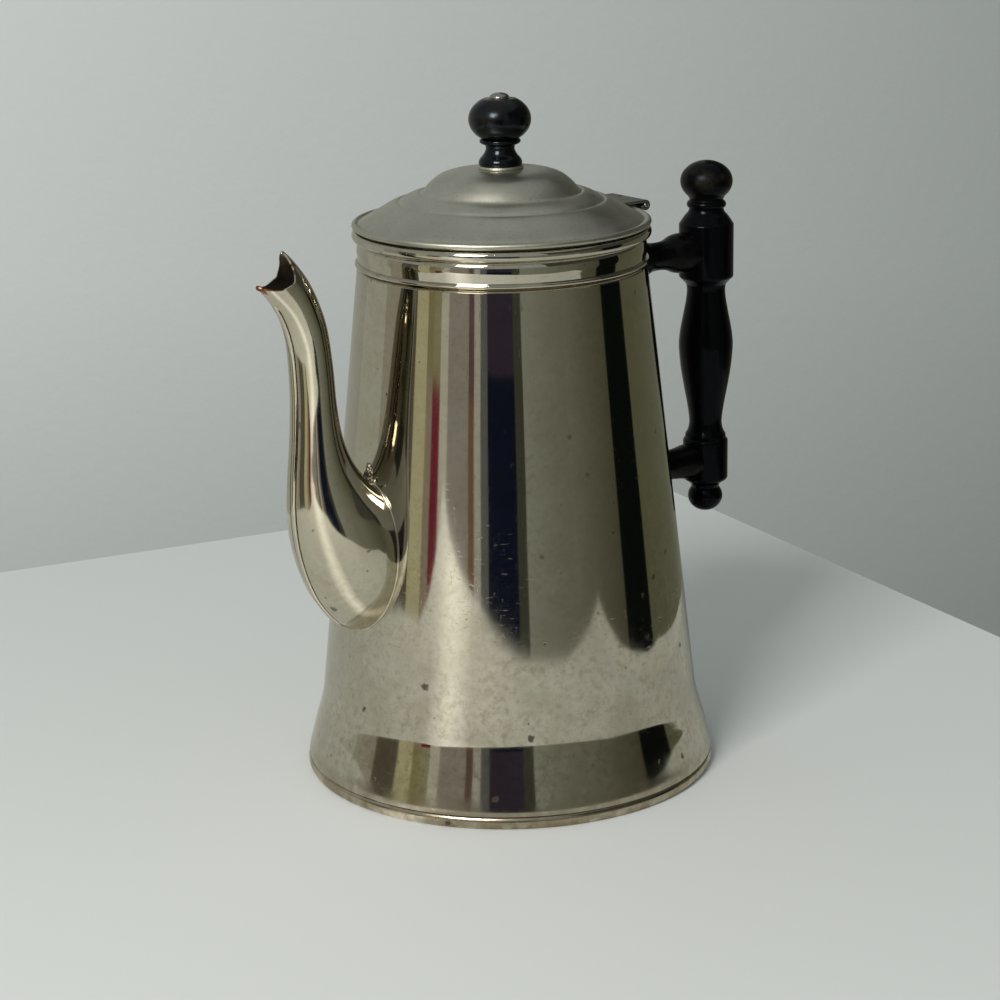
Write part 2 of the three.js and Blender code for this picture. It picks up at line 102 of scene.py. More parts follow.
def arc(centre, radii, start, end, steps):
    """Points on an ellipse about a centre, from one angle to another, in degrees."""
    angles = [math.radians(start + (end - start) * i / steps) for i in range(steps + 1)]
    return [(centre[0] + radii[0] * math.cos(a), centre[1] + radii[1] * math.sin(a)) for a in angles]


def without_repeats(outline, least=0.02):
    """Drops points that lie on the one before."""
    kept = [outline[0]]
    for point in outline[1:]:
        if math.dist(point, kept[-1]) > least:
            kept.append(point)
    return kept


# ---------------------------------------------------------------- meshes


def add_piece(name, vertices, faces, material, body=None, stands_for=(), sharp=32,
              finishes=None):
    """A mesh object from millimetre vertices; finishes picks one of several materials for each face."""
    mesh = bpy.data.meshes.new(name)
    mesh.from_pydata([Vector(v) * MM for v in vertices], [], faces)
    if finishes:
        mesh.polygons.foreach_set("material_index", finishes)
    tidy = bmesh.new()
    tidy.from_mesh(mesh)
    bmesh.ops.remove_doubles(tidy, verts=tidy.verts, dist=1e-7)
    bmesh.ops.recalc_face_normals(tidy, faces=tidy.faces)
    tidy.to_mesh(mesh)
    tidy.free()
    mesh.shade_smooth()
    mesh.set_sharp_from_angle(angle=math.radians(sharp))
    for one in material if isinstance(material, list) else [material]:
        mesh.materials.append(one)
    piece = bpy.data.objects.new(name, mesh)
    bpy.context.scene.collection.objects.link(piece)
    if body:
        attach(piece, body)
    if stands_for:
        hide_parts(*stands_for)
    return piece


def turned_mesh(outline, segments, loop=True):
    """Vertices and faces of an outline of (radius, height) turned about Z."""
    outline = without_repeats(outline)
    if loop and math.dist(outline[0], outline[-1]) < 0.02:
        outline = outline[:-1]
    vertices, rings = [], []
    for radius, height in outline:
        if radius < 1e-4:
            rings.append([len(vertices)] * segments)
            vertices.append((0, 0, height))
            continue
        rings.append(list(range(len(vertices), len(vertices) + segments)))
        for k in range(segments):
            angle = 2 * math.pi * k / segments
            vertices.append((radius * math.cos(angle), radius * math.sin(angle), height))
    pairs = list(zip(rings, rings[1:]))
    if loop:
        pairs.append((rings[-1], rings[0]))
    faces = []
    for low, high in pairs:
        for k in range(segments):
            corners = [low[k], low[(k + 1) % segments], high[(k + 1) % segments], high[k]]
            face = list(dict.fromkeys(corners))
            if len(face) > 2:
                faces.append(face)
    return vertices, faces


def turned(name, outline, material, body, stands_for=(), segments=160, centre=(0, 0), sharp=32):
    """A turned piece about a vertical axis through centre."""
    on_axis = outline[0][0] < 1e-4 and outline[-1][0] < 1e-4
    vertices, faces = turned_mesh(outline, segments, loop=not on_axis)
    moved = [(x + centre[0], y + centre[1], z) for x, y, z in vertices]
    return add_piece(name, moved, faces, material, body, stands_for, sharp)


def along_y(name, outline, from_y, to_y, material, body, slot, stands_for=()):
    """A plate or knuckle whose (x, z) outline is extruded along Y, with softened edges."""
    outline = without_repeats(outline)
    count = len(outline)
    vertices = [(x, y, z) for y in (from_y, to_y) for x, z in outline]
    faces = [[i, (i + 1) % count, count + (i + 1) % count, count + i] for i in range(count)]
    faces += [list(range(count)), list(range(count, 2 * count))]
    piece = add_piece(name, vertices, faces, material, body, stands_for)
    soften = piece.modifiers.new("softened edges", "BEVEL")
    soften.width = 0.15 * MM
    soften.segments = 2
    soften.limit_method = "ANGLE"
    soften.angle_limit = math.radians(40)
    return piece


def swept(name, path, section, material, body):
    """A bar whose section, a list of (across, up) points, follows a path of (point, across, up) frames."""
    count = len(section)
    vertices = [tuple(p + a * s + u * h) for p, a, u in path for s, h in section]
    faces = []
    for i in range(len(path) - 1):
        for k in range(count):
            a, b = i * count + k, i * count + (k + 1) % count
            faces.append([a, b, b + count, a + count])
    faces += [list(range(count)), list(range(len(vertices) - count, len(vertices)))]
    add_piece(name, vertices, faces, material, body, sharp=50)


# ---------------------------------------------------------------- materials


class Nodes:
    """Short calls for building one material's nodes."""

    def __init__(self, name):
        self.material = bpy.data.materials.new(name)
        self.material.use_nodes = True
        self.tree = self.material.node_tree
        self.shader = self.tree.nodes["Principled BSDF"]
        coordinates = self.add("ShaderNodeTexCoord")
        self.place, self.normal = coordinates.outputs["Object"], coordinates.outputs["Normal"]

    def add(self, kind, inputs=None, **settings):
        node = self.tree.nodes.new(kind)
        for key, value in settings.items():
            setattr(node, key, value)
        for key, value in (inputs or {}).items():
            self.put(node.inputs[key], value)
        return node

    def put(self, socket, value):
        if isinstance(value, bpy.types.NodeSocket):
            self.tree.links.new(value, socket)
        else:
            socket.default_value = value

    def set(self, **inputs):
        for key, value in inputs.items():
            self.put(self.shader.inputs[key.replace("_", " ")], value)

    def stretched(self, scale):
        return self.add("ShaderNodeMapping", {"Vector": self.place, "Scale": scale}).outputs["Vector"]

    def noise(self, scale, detail=4, vector=None, rough=0.55, seed=0.0):
        inputs = {"Vector": vector or self.place, "Scale": scale, "Detail": detail, "Roughness": rough,
                  "W": seed}
        return self.add("ShaderNodeTexNoise", inputs, noise_dimensions="4D").outputs["Fac"]

    def ramp(self, value, low, high, start=0.0, end=1.0):
        inputs = {"Value": value, "From Min": low, "From Max": high, "To Min": start, "To Max": end}
        return self.add("ShaderNodeMapRange", inputs).outputs["Result"]

    def math(self, operation, a, b):
        return self.add("ShaderNodeMath", {0: a, 1: b}, operation=operation).outputs["Value"]

    def mix(self, share, first, second):
        node = self.add("ShaderNodeMix", data_type="RGBA")
        self.put(node.inputs["Factor"], share)
        self.put(node.inputs[6], first)
        self.put(node.inputs[7], second)
        return node.outputs[2]

    def height(self):
        return self.add("ShaderNodeSeparateXYZ", {"Vector": self.place}).outputs["Z"]

    def bump(self, height, distance, strength=1.0, below=None):
        inputs = {"Height": height, "Distance": distance, "Strength": strength}
        if below is not None:
            inputs["Normal"] = below
        return self.add("ShaderNodeBump", inputs).outputs["Normal"]

    def spots(self, spacing, size, share, seed=0.0):
        """One in some cells: 1 in a small round spot, 0 around it."""
        inputs = {"Vector": self.place, "Scale": 1 / (spacing * MM), "W": seed}
        cells = self.add("ShaderNodeTexVoronoi", inputs, voronoi_dimensions="4D")
        chance = self.add("ShaderNodeSeparateColor", {"Color": cells.outputs["Color"]})
        reach = self.math("MULTIPLY", chance.outputs["Green"], size / spacing)
        shift = self.ramp(self.noise(900, 2), 0.3, 0.7, -0.05, 0.05)
        ragged = self.math("ADD", cells.outputs["Distance"], shift)
        inside = self.ramp(self.math("SUBTRACT", reach, ragged), 0.0, 0.07)
        chosen = self.math("LESS_THAN", chance.outputs["Red"], share)
        return self.math("MULTIPLY", inside, chosen)


def colour(red, green, blue):
    """A linear colour from display values of 0 to 255."""
    linear = [c / 255 / 12.92 if c < 11 else ((c / 255 + 0.055) / 1.055) ** 2.4 for c in (red, green, blue)]
    return (*linear, 1.0)


NICKEL = (0.63, 0.595, 0.51, 1.0)
SPOUT_NICKEL = (0.69, 0.645, 0.53, 1.0)


def smudges(n, plate):
    """Plate clouded and speckled by handling."""
    cloud = n.ramp(n.noise(70, 6, seed=3.0), 0.45, 0.75)
    dull = [0.78 * plate[0], 0.74 * plate[1], 0.66 * plate[2], 1]
    tone = n.mix(n.math("MULTIPLY", cloud, 0.4), plate, dull)
    speckle = n.ramp(n.noise(480, 6, seed=9.0, rough=0.65), 0.5, 0.66)
    speckled = n.ramp(n.noise(28, 4, seed=11.0), 0.42, 0.62, 0.1, 0.65)
    return n.mix(n.math("MULTIPLY", speckle, speckled), tone, dull)


def mottling(n):
    """How far the plate has mottled: large and small patches, most of them low down."""
    patches = n.ramp(n.noise(48, 9, rough=0.74, seed=15.0), 0.44, 0.66)
    flecks = n.ramp(n.noise(340, 7, rough=0.72, seed=17.0), 0.44, 0.64, 0.0, 1.1)
    lower = n.ramp(n.height(), 0.03, 0.11, 1.0, 0.3)
    return n.math("MULTIPLY", n.math("MULTIPLY", n.math("MAXIMUM", patches, flecks), lower), 0.75)


def pitting(n):
    """Where the plate is pitted: scattered big pits, mostly low down, and patches of small ones."""
    big = n.math("MULTIPLY", n.spots(7, 1.9, 0.5), n.ramp(n.height(), 0.05, 0.12, 1.0, 0.55))
    patch = n.ramp(n.noise(16, 3, seed=12.0), 0.42, 0.6, 0.2, 1.0)
    small = n.math("MULTIPLY", n.spots(3.6, 0.8, 0.7, seed=4.0), patch)
    return n.math("MAXIMUM", n.math("MULTIPLY", big, 0.8), n.math("MULTIPLY", small, 0.7))


def scratching(n):
    """Where the plate is scratched, in short strokes around the pot and up it."""
    around = n.ramp(n.noise(46, 2, vector=n.stretched((6, 6, 30)), seed=2.0), 0.67, 0.72)
    upright = n.ramp(n.noise(46, 2, vector=n.stretched((30, 30, 3)), seed=7.0), 0.66, 0.7)
    scratched = n.ramp(n.noise(18, 2, seed=8.0), 0.45, 0.6)
    return n.math("MULTIPLY", n.math("MAXIMUM", around, upright), scratched)


def polished_nickel(name, plate, tarnish_top=0.012, smooth=0.03, shade_facing_body=0.0):
    """Bright old plate, tarnished up to tarnish_top metres, and darkened by the last argument's share where
    it faces the body: painted shade from the body, with some tarnish there as well.
    """
    n = Nodes(name)
    tone = smudges(n, plate)
    near_foot = n.ramp(n.height(), 0.0, tarnish_top, 1.0, 0.0)
    low = n.math("MULTIPLY", near_foot, n.ramp(n.noise(160, 4, seed=5.0), 0.34, 0.56))
    tone = n.mix(low, tone, (0.24, 0.16, 0.09, 1))
    turned_in = n.add("ShaderNodeSeparateXYZ", {"Vector": n.normal}).outputs["X"]
    # painted shade, partly tarnish: faces turned towards the body are darkened
    tone = n.mix(n.math("MULTIPLY", n.ramp(turned_in, 0.05, 0.85), shade_facing_body), tone, (0.10, 0.085, 0.05, 1))
    mottle, pits, scratch = mottling(n), pitting(n), scratching(n)
    tone = n.mix(mottle, tone, [0.62 * plate[0], 0.58 * plate[1], 0.49 * plate[2], 1])
    tone = n.mix(pits, tone, (0.07, 0.05, 0.03, 1))
    rough = n.ramp(n.noise(22, 5), 0.35, 0.7, smooth, smooth + 0.045)
    rough = n.math("ADD", rough, n.math("MULTIPLY", n.math("ADD", scratch, mottle), 0.07))
    rough = n.math("ADD", rough, n.math("MULTIPLY", n.math("MAXIMUM", pits, low), 0.3))
    waves = n.bump(n.noise(20, 1, seed=1.0), 0.00016)
    relief = n.math("SUBTRACT", n.math("MULTIPLY", scratch, -0.25), pits)
    n.set(Base_Color=tone, Metallic=1.0, Roughness=rough, Normal=n.bump(relief, 0.00004, 0.6, below=waves))
    return n.material


def groove_dirt_and_shade():
    """Dark brown in the narrow grooves beside a seam: soiling caught there, and painted shade of the
    groove.
    """
    n = Nodes("groove_dirt_and_shade")
    tone = n.mix(n.ramp(n.noise(300, 4), 0.35, 0.65), (0.030, 0.022, 0.012, 1), (0.11, 0.088, 0.05, 1))
    n.set(Base_Color=tone, Metallic=0.8, Roughness=n.ramp(n.noise(200, 3), 0.3, 0.7, 0.25, 0.5))
    return n.material


def satin_nickel(name, light=1.0):
    """Dulled plate of the lid and hinge, blotched, speckled and lightly dimpled; a light below 1 darkens a
    copy as painted shade.
    """
    n = Nodes(name)
    blotch = n.ramp(n.noise(38, 6), 0.38, 0.68)
    darker = [0.52 * light, 0.506 * light, 0.427 * light, 1]
    lighter = [0.64 * light, 0.626 * light, 0.536 * light, 1]
    tone = n.mix(blotch, darker, lighter)
    stain = n.ramp(n.noise(20, 4, seed=6.0), 0.56, 0.72, 0.0, 0.5)
    tone = n.mix(stain, tone, (0.29, 0.27, 0.21, 1))
    speckle = n.ramp(n.noise(900, 2, seed=9.0), 0.56, 0.72, 0.0, 0.22)
    pits = n.math("MAXIMUM", n.math("MULTIPLY", n.spots(11, 1.3, 0.2), 0.8), speckle)
    tone = n.mix(pits, tone, (0.10, 0.085, 0.06, 1))
    rough = n.ramp(n.noise(90, 5, seed=2.0), 0.3, 0.7, 0.34, 0.46)
    dents = n.bump(n.noise(24, 2, seed=4.0), 0.0006)
    fine = n.bump(n.noise(700, 3), 0.00003, 0.5, below=dents)
    n.set(Base_Color=tone, Metallic=1.0, Roughness=rough, Normal=fine)
    return n.material


def inner_metal():
    """The unpolished inside of the pot: dull tinned metal stained brown by coffee."""
    n = Nodes("stained inside")
    stain = n.ramp(n.noise(26, 6), 0.35, 0.65)
    tone = n.mix(stain, (0.33, 0.29, 0.23, 1), (0.13, 0.085, 0.05, 1))
    n.set(Base_Color=tone, Metallic=1.0, Roughness=n.ramp(n.noise(120, 4), 0.3, 0.7, 0.35, 0.6))
    return n.material


def copper_lip():
    """Bare copper where the plate has worn off, browned."""
    n = Nodes("worn copper")
    wear = n.ramp(n.noise(330, 4), 0.4, 0.62)
    tone = n.mix(wear, (0.52, 0.24, 0.13, 1), (0.10, 0.05, 0.03, 1))
    n.set(Base_Color=tone, Metallic=1.0, Roughness=n.ramp(wear, 0, 1, 0.2, 0.5))
    return n.material


def solder():
    """Grey soft solder, lumpy and dull."""
    n = Nodes("solder")
    tone = n.mix(n.ramp(n.noise(240, 4), 0.35, 0.65), (0.36, 0.33, 0.27, 1), (0.17, 0.14, 0.10, 1))
    n.set(Base_Color=tone, Metallic=1.0, Roughness=0.36, Normal=n.bump(n.noise(420, 3), 0.0002))
    return n.material


def ebonised_wood(name, worn, worn_from, worn_to, gloss):
    """Black lacquered wood with fine grain, worn brown from worn_from to worn_to metres up."""
    n = Nodes(name)
    grain = n.noise(60, 6, vector=n.stretched((6, 6, 0.7)))
    patch = n.ramp(n.noise(75, 5, seed=3.0), 0.46, 0.66)
    here = n.math("MULTIPLY", n.ramp(n.height(), worn_from, worn_to), worn)
    specks = n.math("MULTIPLY", n.spots(6, 1.2, 0.1), 0.25)
    wear = n.math("MAXIMUM", n.math("MULTIPLY", patch, here), specks)
    tone = n.mix(grain, (0.0006, 0.0007, 0.0010, 1), (0.003, 0.003, 0.0035, 1))
    brown = n.mix(grain, (0.010, 0.008, 0.005, 1), (0.034, 0.027, 0.017, 1))
    rough = n.ramp(n.noise(50, 4, seed=8.0), 0.3, 0.7, 0.11, 0.2)
    rough = n.math("ADD", rough, n.math("MULTIPLY", wear, 0.3))
    pores = n.bump(grain, 0.00025, 0.35)
    uneven = n.bump(n.noise(30, 2), 0.0004, below=pores)
    n.set(Base_Color=n.mix(wear, tone, brown), Roughness=rough, Normal=uneven)
    # painted reflection colour: the lacquer's highlights and reflections are tinted blue
    n.set(Specular_IOR_Level=gloss, Specular_Tint=(0.72, 0.88, 1, 1))
    return n.material


def japanned_iron():
    """Black stove enamel on cast iron, slightly pebbled."""
    n = Nodes("japanned iron")
    chip = n.spots(9, 1.6, 0.12)
    tone = n.mix(n.ramp(n.noise(90, 4), 0.4, 0.7), (0.0006, 0.0006, 0.0009, 1), (0.0025, 0.0025, 0.003, 1))
    tone = n.mix(n.math("MULTIPLY", chip, 0.6), tone, (0.03, 0.02, 0.015, 1))
    rough = n.ramp(n.noise(140, 4), 0.3, 0.7, 0.2, 0.36)
    pebbled = n.bump(n.noise(380, 3), 0.00015)
    n.set(Base_Color=tone, Roughness=rough, Specular_IOR_Level=0.12, Normal=pebbled)
    return n.material


def bare_steel():
    """Plain steel screw metal, lightly rusted."""
    n = Nodes("bare steel")
    rust = n.ramp(n.noise(420, 4), 0.5, 0.68)
    tone = n.mix(rust, (0.42, 0.41, 0.39, 1), (0.13, 0.08, 0.05, 1))
    rough = n.ramp(rust, 0, 1, 0.24, 0.5)
    n.set(Base_Color=tone, Metallic=1.0, Roughness=rough, Normal=n.bump(rust, 0.00004))
    return n.material


bright = polished_nickel("polished nickel", NICKEL)
# the spout's faces turned to the body get painted shade, with some tarnish
spout_metal = polished_nickel("spout nickel", SPOUT_NICKEL, smooth=0.06, shade_facing_body=0.75)
foot_metal = polished_nickel("tarnished foot", SPOUT_NICKEL, tarnish_top=0.0085)
# dark brown for the seam grooves: soiling and painted shade
groove_dirt_and_shade_metal = groove_dirt_and_shade()
lid_metal = satin_nickel("satin nickel")
# the hinge's copy is darkened to half as painted shade
shaded_hinge_metal = satin_nickel("hinge nickel", light=0.5)
inside = inner_metal()
copper = copper_lip()
solder_metal = solder()
knob_wood = ebonised_wood("knob wood", 0.4, 0.236, 0.246, gloss=0.32)
grip_wood = ebonised_wood("grip wood", 1.0, 0.203, 0.214, gloss=0.1)
iron = japanned_iron()
steel = bare_steel()


# ---------------------------------------------------------------- pot body


def give_inside(piece, material, is_inside):
    """Gives the faces that is_inside picks a second material."""
    piece.data.materials.append(material)
    for face in piece.data.polygons:
        if is_inside(face.center / MM, face.normal):
            face.material_index = 1


def faces_axis(centre, normal):
    """True for a face of a turned shell that looks towards the pot's axis or down."""
    return Vector((centre.x, centre.y, 0)).normalized().dot(normal) < -0.3


FLARE = [(77.0, FOOT_TOP + 0.2), (76.9, 6.4), (76.0, 9.8), (73.95, 17.5), (72.35, 23), (70.95, 29),
         (70.15, 36), FLARE_TOP]


def body_wall():
    """The tapered body with its flared foot and stepped-in neck, pierced behind the spout."""
    flare = spline(FLARE, 8)
    cone = [(cone_radius(z), z) for z in range(60, 190, 10)]
    neck = spline([CONE_TOP, (52.6, 191.0), (NECK_R, 191.6), (NECK_R, 193)], 4)
    outside = [*flare, *cone, *neck, (NECK_R, BODY_TOP)]
    lining = [(radius - SHEET, height) for radius, height in reversed(outside)]
    wall = turned("body_wall", [*outside, *lining], bright, "pot", ["body_shell"], 240)
    cut_strainer(wall)
    give_inside(wall, inside, faces_axis)


# The strainer: heights of its rows and the holes in each, their spacing and their radius.
STRAINER_ROWS = ((76, 3), (83, 4), (90, 5), (97, 4), (104, 3), (110, 2))
HOLE_SPACING, HOLE_R, HOLE_SIDES = 6.5, 1.5, 16


def cut_strainer(wall):
    """Pierces the rows of strainer holes that the CAD shell has."""
    vertices, faces = [], []
    ring = range(HOLE_SIDES)
    for height, count in STRAINER_ROWS:
        for i in range(count):
            turn = (i - (count - 1) / 2) * HOLE_SPACING / cone_radius(height)
            out = Vector((-math.cos(turn), -math.sin(turn), 0))
            side = Vector((-out.y, out.x, 0))
            start = len(vertices)
            for reach in (-4, 3):
                middle = out * (cone_radius(height) + reach) + Vector((0, 0, height))
                for k in ring:
                    angle = math.tau * k / HOLE_SIDES
                    across, up = HOLE_R * math.cos(angle), HOLE_R * math.sin(angle)
                    vertices.append(middle + side * across + Vector((0, 0, up)))
            for k in ring:
                near, far = start + k, start + (k + 1) % HOLE_SIDES
                faces.append([near, far, far + HOLE_SIDES, near + HOLE_SIDES])
            faces += [[start + k for k in ring], [start + HOLE_SIDES + k for k in ring]]
    cutter = add_piece("strainer_cutter", vertices, faces, inside)
    punch = wall.modifiers.new("punched holes", "BOOLEAN")
    punch.object = cutter
    punch.operation = "DIFFERENCE"
    punch.solver = "EXACT"
    punched = bpy.data.meshes.new_from_object(wall.evaluated_get(bpy.context.evaluated_depsgraph_get()))
    wall.modifiers.clear()
    wall.data = punched
    wall.data.set_sharp_from_angle(angle=math.radians(32))
    bpy.data.objects.remove(cutter)


def foot():
    """The rolled foot bead, and the dished bottom plate inside it."""
    inner = span("bottom_plate")[1].y + 0.1
    roll = arc((FOOT_R - 1.5, FOOT_TOP / 2), (1.5, FOOT_TOP / 2), -90, 90, 14)
    bead = [(inner, 0), *roll, (inner, FOOT_TOP)]
    turned("foot_bead", bead, foot_metal, "pot", ["foot_rim"])
    low = span("bottom_plate")[0].z
    edge = span("bottom_plate")[1].y
    plate = [(0, low), (40, low), (41.5, low + 0.25), (60, low + 0.25), (61.5, low), (edge - 1, low)]
    plate += arc((edge - 0.9, low + 0.9), (0.9, 0.9), -90, 0, 5)
    plate += [(edge, FOOT_TOP), (edge - SHEET, FOOT_TOP)]
    plate += [(edge - SHEET, low + 1.6), (edge - 1.6, low + SHEET)]
    plate += [(61.5, low + SHEET), (60, low + SHEET + 0.25), (41.5, low + SHEET + 0.25), (40, low + SHEET)]
    turned("bottom_disc", [*plate, (0, low + SHEET)], inside, "pot", ["bottom_plate"])


def neck_rings():
    """The swelled collar with its small bead, and the rolled mouth rim."""
    inner = NECK_R + 0.05
    bead_z, bead_r = COLLAR_LOW.z + 1.35, 0.75
    band_r = COLLAR_HIGH.y - bead_r
    swell = spline([(band_r - 0.45, bead_z + 0.8), (band_r - 0.2, 195.6), (band_r - 0.05, 197.4),
                    (band_r - 0.35, 199.4), (band_r - 1.0, COLLAR_HIGH.z)], 6)
    bead = arc((band_r, bead_z), (bead_r, bead_r), -100, 120, 14)
    turned("collar", [(inner, bead_z - 0.8), *bead, *swell, (inner, COLLAR_HIGH.z)], bright, "pot",
           ["collar_band"])
    width, height = RIM_HIGH.y - NECK_R, RIM_HIGH.z - RIM_LOW.z
    roll = arc((RIM_HIGH.y - width / 2, (RIM_LOW.z + RIM_HIGH.z) / 2), (width / 2, height / 2), 0, 360, 36)
    turned("rolled_rim", roll, bright, "pot", ["mouth_rim"])


# ---------------------------------------------------------------- spout
# Front seam (x, z), back seam (x, z) and half width, from beyond the mouth down into the body.
SPOUT = [
    (-107, 199, -97.5, 210, 5.6),
    (-100.2, 191.6, -90, 204, 6.4),
    (-94.4, 183.4, -83.4, 195, 8),
    (-91, 173, -78.2, 181.5, 9.3),
    (-90, 161, -76, 166, 9.9),
    (-90, 149, -74.9, 151, 10.2),
    (-90.8, 136, -73, 139, 11.3),
    (-92, 123, -69, 129, 13.2),
    (-92.4, 111, -62.7, 120.5, 16),
    (-91.3, 99.3, -55, 114, 18.8),
    (-88.4, 88, -49, 105, 20.2),
    (-84.2, 78.4, -46, 94, 19.4),
    (-78.8, 71, -46, 83, 16),
    (-73, 66.2, -46, 74, 11),
    (-66, 63.6, -46, 67, 6),
    (-58, 62.6, -46, 63.5, 2.5),
]
SPOUT_LINE = spline(SPOUT, 12)
SEAM_START = 0.085
MOUTH = [
    *spline([(-92.6, 206.6), (-91.1, 201), (-91.6, 196.4)], 8),
    *spline([(-91.6, 196.4), (-96.8, 193.9), (-103, 194.4)], 8),
    (-115, 195), (-115, 215), (-95, 215),
]
ROWS = 130
FRONT_COLUMNS = (0, 0.35, 0.65, 0.9, 1.08, 1.2, 1.5, 1.8, 2.15, 2.6, 3.2)  # millimetres from the front seam
BACK_COLUMNS = (1.6, 1.1, 0.8, 0.6, 0.4, 0.2, 0)  # millimetres from the back seam
SIDE_COLUMNS = 26
COLUMNS = len(FRONT_COLUMNS) + SIDE_COLUMNS + len(BACK_COLUMNS)


def spout_station(t):
    """Front, back and half width at a share t of the spout's length."""
    place = max(0.0, min(1.0, t)) * (len(SPOUT_LINE) - 1)
    i = min(int(place), len(SPOUT_LINE) - 2)
    a, b = SPOUT_LINE[i], SPOUT_LINE[i + 1]
    fx, fz, bx, bz, half = (p + (q - p) * (place - i) for p, q in zip(a, b))
    return Vector((fx, 0, fz)), Vector((bx, 0, bz)), half


def column_angle(column, half):
    """The angle round the spout of a column of its mesh: 0 is the front seam and pi the back seam."""
    width = max(half, 5.0)
    first, last = FRONT_COLUMNS[-1] / width, math.pi - BACK_COLUMNS[0] / width
    if column < len(FRONT_COLUMNS):
        return FRONT_COLUMNS[column] / width
    if column >= COLUMNS - len(BACK_COLUMNS):
        return math.pi - BACK_COLUMNS[column - COLUMNS] / width
    return first + (last - first) * (column - len(FRONT_COLUMNS) + 1) / (SIDE_COLUMNS + 1)


def seam_relief(column, t):
    """How far the spout's outside stands proud at a seam, or sinks in the groove beside it."""
    grown = min(1.0, max(0.0, (t - SEAM_START) / 0.03))
    if column < len(FRONT_COLUMNS):
        across = FRONT_COLUMNS[column]
        bead = 0.6 * math.sqrt(max(0.0, 1 - (across / 1.2) ** 2))
        groove = 0.34 * max(0.0, 1 - abs(across - 1.6) / 0.55)
        return grown * (bead - groove)
    if column >= COLUMNS - len(BACK_COLUMNS):
        across = BACK_COLUMNS[column - COLUMNS]
        bead = 0.3 * math.sqrt(max(0.0, 1 - (across / 0.65) ** 2))
        return bead - 0.2 * max(0.0, 1 - abs(across - 0.8) / 0.3)
    return 0.0


def spout_point(column, t, side, wall=0.0):
    """A point on a spout half: wall is how far it lies inside the surface."""
    front, back, half = spout_station(t)
    angle = column_angle(column, half)
    centre, reach = (front + back) / 2, (front - back) / 2
    proud = seam_relief(column, t) if wall == 0 else 0.0
    turn = math.cos(angle)
    along = reach.normalized() * ((reach.length - wall) * turn + proud * math.copysign(1, turn))
    return centre + along + Vector((0, side * (half - wall) * math.sin(angle), 0))


def in_mouth(point):
    """True where the mouth's cut has taken the spout away, seen from the side."""
    inside_cut = False
    for (x0, z0), (x1, z1) in zip(MOUTH, MOUTH[1:] + MOUTH[:1]):
        if (z0 > point.z) != (z1 > point.z) and point.x < x0 + (point.z - z0) * (x1 - x0) / (z1 - z0):
            inside_cut = not inside_cut
    return inside_cut


def in_body(point):
    """True once the spout has sunk into the body's wall."""
    return math.hypot(point.x, point.y) < cone_radius(point.z) - 0.25


def spout_limits(column):
    """Where a column of the spout's mesh starts at the mouth and ends at the body."""
    starts, ends = 0.0, 0.2
    for _ in range(26):
        middle = (starts + ends) / 2
        cut = in_mouth(spout_point(column, middle, 1))
        starts, ends = (middle, ends) if cut else (starts, middle)
    first = ends
    starts, ends = 0.3, 1.0
    for _ in range(26):
        middle = (starts + ends) / 2
        sunk = in_body(spout_point(column, middle, 1))
        starts, ends = (starts, middle) if sunk else (middle, ends)
    return first, starts


PLATE, LINING, COPPER, GROOVE_DIRT_AND_SHADE = range(4)


def outside_finish(row, column):
    """Which finish a patch of a half's outside has: worn to copper at the lip, and dark brown in the
    grooves, soiling with painted shade.
    """
    if row < 2 and column < 9:
        return COPPER
    front_groove = 5 <= column <= 7
    back_groove = COLUMNS - len(BACK_COLUMNS) <= column <= COLUMNS - len(BACK_COLUMNS) + 1
    return GROOVE_DIRT_AND_SHADE if (front_groove and row > 9) or back_groove else PLATE


def spout_halves():
    """Two stamped halves with thickness, trimmed to the mouth's edge and to the body."""
    limits = [spout_limits(column) for column in range(COLUMNS)]
    for side, name in ((1, "spout_right_half"), (-1, "spout_left_half")):
        vertices, faces, finishes = [], [], []
        for wall in (0.0, SHEET):
            for row in range(ROWS + 1):
                for column, (first, last) in enumerate(limits):
                    vertices.append(spout_point(column, first + (last - first) * row / ROWS, side, wall))
        sheet = (ROWS + 1) * COLUMNS
        for layer in (0, 1):
            for row in range(ROWS):
                for column in range(COLUMNS - 1):
                    a = layer * sheet + row * COLUMNS + column
                    faces.append([a, a + 1, a + 1 + COLUMNS, a + COLUMNS])
                    finishes.append(LINING if layer else outside_finish(row, column))
        for row in range(ROWS):
            for column in (0, COLUMNS - 1):
                a = row * COLUMNS + column
                faces.append([a, a + COLUMNS, sheet + a + COLUMNS, sheet + a])
                finishes.append(PLATE)
        for row in (0, ROWS):
            for column in range(COLUMNS - 1):
                a = row * COLUMNS + column
                faces.append([a, a + 1, sheet + a + 1, sheet + a])
                finishes.append(COPPER if row == 0 and column < 18 else PLATE)
        metals = [spout_metal, inside, copper, groove_dirt_and_shade_metal]
        add_piece(name + "_shell", vertices, faces, metals, "pot", [name], 60, finishes)


def lip_roll():
    """The worn roll of metal on the lip's tip."""
    path = []
    for i in range(-8, 9):
        column, side = abs(i), 1 if i >= 0 else -1
        first, _ = spout_limits(column)
        point = spout_point(column, first, side, SHEET / 2)
        swell = 1 - 0.45 * (abs(i) / 8) ** 2
        path.append((point, Vector((-0.8, 0, 0.6)) * swell, Vector((0.6, 0, 0.8)) * swell))
    swept("lip_roll", path, arc((0, 0), (1.15, 0.9), 0, 342, 19), copper, "pot")


